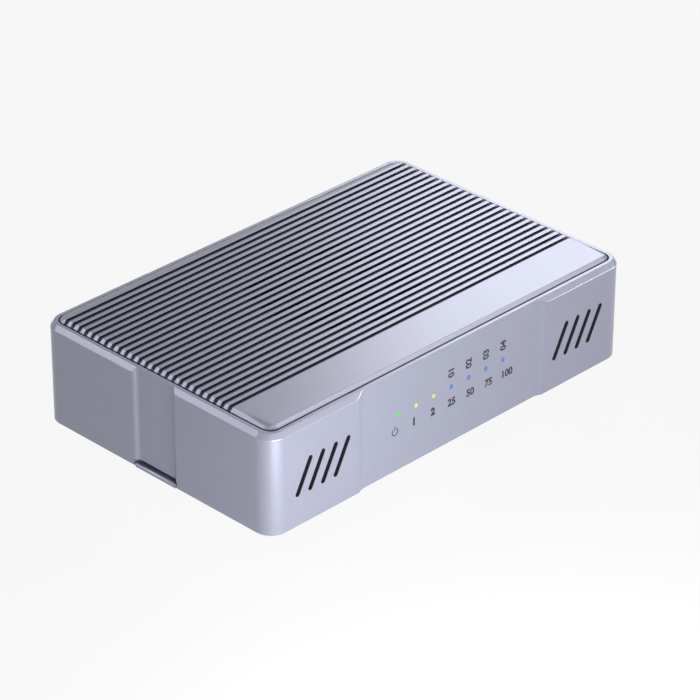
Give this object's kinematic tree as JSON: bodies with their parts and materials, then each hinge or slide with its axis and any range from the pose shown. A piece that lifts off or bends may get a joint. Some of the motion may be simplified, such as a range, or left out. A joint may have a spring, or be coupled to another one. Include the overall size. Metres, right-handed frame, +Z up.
{
  "type": "dual-slot ssd enclosure",
  "caption": "Flat rounded aluminium drive enclosure with a grooved lift-off cover, fan vent, slanted side slots and a row of status lights.",
  "frame": {"origin": "on the desk, under the middle of the enclosure's bounding box", "axes": "+X along the front face to its right end, +Y to the back with the sockets, +Z up"},
  "size_m": [0.125, 0.08, 0.035],
  "materials": {
    "anodised_aluminium": "satin, bead-blasted and anodised",
    "black_plastic": "matt",
    "dark_plastic": "matt",
    "button_black": "satin",
    "rubber_black": "matt",
    "steel": "satin",
    "screw_black": "satin",
    "nickel": "bright",
    "brass": "satin",
    "copper": "wound wire",
    "board_green": "solder mask",
    "chip_black": "matt",
    "heatsink": "satin",
    "ferrite": "matt",
    "capacitor_can": "bright",
    "thermal_pad": "matt",
    "fan_black": "satin",
    "header_white": "matt",
    "lead_black": "satin",
    "led_white": "satin",
    "light_green": "frosted",
    "light_yellow": "frosted",
    "light_blue": "frosted"
  },
  "bodies": {
    "enclosure": {"body_frame": "anodised_aluminium", "base_plate": "anodised_aluminium", "base_screws": "screw_black", "rubber_feet": "rubber_black", "frame_magnets": "nickel", "main_board": "board_green", "board_standoffs": "brass", "board_screws": "steel", "m2_socket_a": "black_plastic", "m2_socket_b": "black_plastic", "latch_post_a": "steel", "latch_post_b": "steel", "thermal_pad_a": "thermal_pad", "thermal_pad_b": "thermal_pad", "usb_c_shell": "steel", "usb_c_tongue": "black_plastic", "dc_jack_housing": "black_plastic", "dc_jack_pin": "steel", "power_switch": "dark_plastic", "mode_switch": "dark_plastic", "set_switch": "dark_plastic", "led_board": "board_green", "led_chips": "led_white", "power_light_pipe": "light_green", "drive_light_pipes": "light_yellow", "mode_light_pipes": "light_blue", "led_header": "black_plastic", "raid_controller": "chip_black", "chip_heatsink": "heatsink", "bridge_chips": "chip_black", "support_chips": "chip_black", "power_inductors": "ferrite", "board_capacitors": "capacitor_can", "fan_header": "header_white"},
    "cover": {"top_cover": "anodised_aluminium", "cover_magnets": "nickel", "fan_frame": "fan_black", "fan_bearing": "brass", "fan_stator": "copper", "fan_screws": "screw_black", "fan_plug": "header_white", "fan_lead": "lead_black"},
    "fan": {"fan_rotor": "fan_black", "fan_magnet_ring": "ferrite", "fan_shaft": "steel"},
    "power_key": {"power_button": "button_black", "power_plunger": "black_plastic"},
    "mode_key": {"mode_button": "button_black", "mode_plunger": "black_plastic"},
    "set_key": {"set_button": "button_black", "set_plunger": "black_plastic"},
    "latch_a": {"ssd_latch_a": "dark_plastic"},
    "latch_b": {"ssd_latch_b": "dark_plastic"}
  },
  "joints": [
    {"name": "cover_lift", "type": "slide", "parent": "enclosure", "child": "cover", "axis": [0, 0, 1], "range_m": [0, 0.04]},
    {"name": "fan_spin", "type": "hinge", "parent": "cover", "child": "fan", "pos_m": [0, 0.00035, 0.02745], "axis": [0, 0, 1], "continuous": true},
    {"name": "power_press", "type": "slide", "parent": "enclosure", "child": "power_key", "axis": [0, -1, 0], "range_m": [0, 0.001], "stiffness_N_per_m": 800},
    {"name": "mode_press", "type": "slide", "parent": "enclosure", "child": "mode_key", "axis": [0, -1, 0], "range_m": [0, 0.0005], "stiffness_N_per_m": 800},
    {"name": "set_press", "type": "slide", "parent": "enclosure", "child": "set_key", "axis": [0, -1, 0], "range_m": [0, 0.0005], "stiffness_N_per_m": 800},
    {"name": "latch_a_turn", "type": "hinge", "parent": "enclosure", "child": "latch_a", "pos_m": [0.027, -0.01175, 0.0153], "axis": [0, 0, 1], "range_deg": [0, 90]},
    {"name": "latch_b_turn", "type": "hinge", "parent": "enclosure", "child": "latch_b", "pos_m": [0.027, 0.01175, 0.0153], "axis": [0, 0, 1], "range_deg": [0, 90]}
  ]
}
